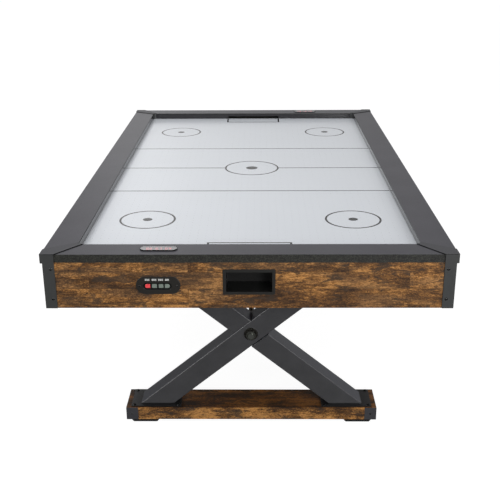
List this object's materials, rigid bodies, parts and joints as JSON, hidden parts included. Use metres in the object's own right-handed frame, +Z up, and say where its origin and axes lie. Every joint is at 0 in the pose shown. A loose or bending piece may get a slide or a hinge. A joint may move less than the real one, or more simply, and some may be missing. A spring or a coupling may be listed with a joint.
{
  "type": "air hockey table",
  "caption": "Full-size air hockey table with wood-look aprons, charcoal rails, recessed air-hole field, goals, puck returns, push-button panel, score displays and two X-shaped leg frames.",
  "frame": {"origin": "on the floor, under the middle of the table", "axes": "+Y along the length, towards the end without the control panel; +X across the width; +Z up"},
  "size_m": [1.219, 2.1376, 0.8142],
  "materials": {
    "rail_laminate": "smooth charcoal laminate on the top, fine speckle on the edges",
    "wall_plastic": "satin",
    "cap_plastic": "fine moulded texture",
    "rustic_laminate": "rustic brown wood-grain laminate with dark patches",
    "fibreboard": "raw fibreboard",
    "field_laminate": "semi-gloss, perforated with small air holes",
    "black_plastic": "moulded",
    "bezel_plastic": "satin",
    "button_red": "satin",
    "button_grey": "satin",
    "circuit_board": "solder mask",
    "smoked_acrylic": "polished, smoked",
    "motor_steel": "plated",
    "black_screws": "black zinc",
    "leg_paint": "fine charcoal powder coat",
    "strap_paint": "charcoal powder coat",
    "foot_rubber": "plain",
    "cable_pvc": "plain"
  },
  "bodies": {
    "table": {"side_rail_left": "rail_laminate", "side_rail_right": "rail_laminate", "end_rail_front": "rail_laminate", "end_rail_rear": "rail_laminate", "side_wall_left": "wall_plastic", "side_wall_right": "wall_plastic", "end_wall_front": "wall_plastic", "end_wall_rear": "wall_plastic", "corner_cap_front_left": "cap_plastic", "corner_cap_front_right": "cap_plastic", "corner_cap_rear_left": "cap_plastic", "corner_cap_rear_right": "cap_plastic", "apron_front": "rustic_laminate", "apron_rear": "rustic_laminate", "apron_left": "rustic_laminate", "apron_right": "rustic_laminate", "base_beam_front": "rustic_laminate", "base_beam_rear": "rustic_laminate", "playfield_ribs": "fibreboard", "bottom_panel": "fibreboard", "support_cleats": "fibreboard", "leg_beam_front": "fibreboard", "leg_beam_rear": "fibreboard", "playfield": "field_laminate", "puck_return_front": "black_plastic", "puck_return_rear": "black_plastic", "goal_chute_front": "black_plastic", "goal_chute_rear": "black_plastic", "score_cup_front": "black_plastic", "score_cup_rear": "black_plastic", "blower_housing": "black_plastic", "intake_grille": "black_plastic", "power_inlet": "black_plastic", "goal_sensors": "black_plastic", "control_panel": "bezel_plastic", "control_board": "circuit_board", "score_board_front": "circuit_board", "score_board_rear": "circuit_board", "score_lens_front": "smoked_acrylic", "score_lens_rear": "smoked_acrylic", "blower_motor": "motor_steel", "blower_screws": "motor_steel", "corner_cap_screws": "black_screws", "control_screws": "black_screws", "base_strap_screws": "black_screws", "leg_plate_bolts": "black_screws", "tie_rod": "black_screws", "leg_rising_front": "leg_paint", "leg_falling_front": "leg_paint", "leg_rising_rear": "leg_paint", "leg_falling_rear": "leg_paint", "base_end_straps": "strap_paint", "foot_pads": "foot_rubber", "wiring_harness": "cable_pvc"},
    "power_button": {"power_button": "button_red"},
    "start_button": {"start_button": "button_grey"},
    "sound_button": {"sound_button": "button_grey"},
    "mode_button": {"mode_button": "button_grey"},
    "impeller": {"blower_impeller": "black_plastic", "motor_shaft": "motor_steel"}
  },
  "joints": [
    {"name": "power_button_press", "type": "slide", "parent": "table", "child": "power_button", "axis": [0, 1, 0], "range_m": [0, 0.0015], "stiffness_N_per_m": 400, "springref_m": -0.0005},
    {"name": "start_button_press", "type": "slide", "parent": "table", "child": "start_button", "axis": [0, 1, 0], "range_m": [0, 0.0015], "stiffness_N_per_m": 400, "springref_m": -0.0005},
    {"name": "sound_button_press", "type": "slide", "parent": "table", "child": "sound_button", "axis": [0, 1, 0], "range_m": [0, 0.0015], "stiffness_N_per_m": 400, "springref_m": -0.0005},
    {"name": "mode_button_press", "type": "slide", "parent": "table", "child": "mode_button", "axis": [0, 1, 0], "range_m": [0, 0.0015], "stiffness_N_per_m": 400, "springref_m": -0.0005},
    {"name": "impeller_spin", "type": "hinge", "parent": "table", "child": "impeller", "pos_m": [0, 0, 0.7], "axis": [0, 0, 1], "continuous": true}
  ]
}
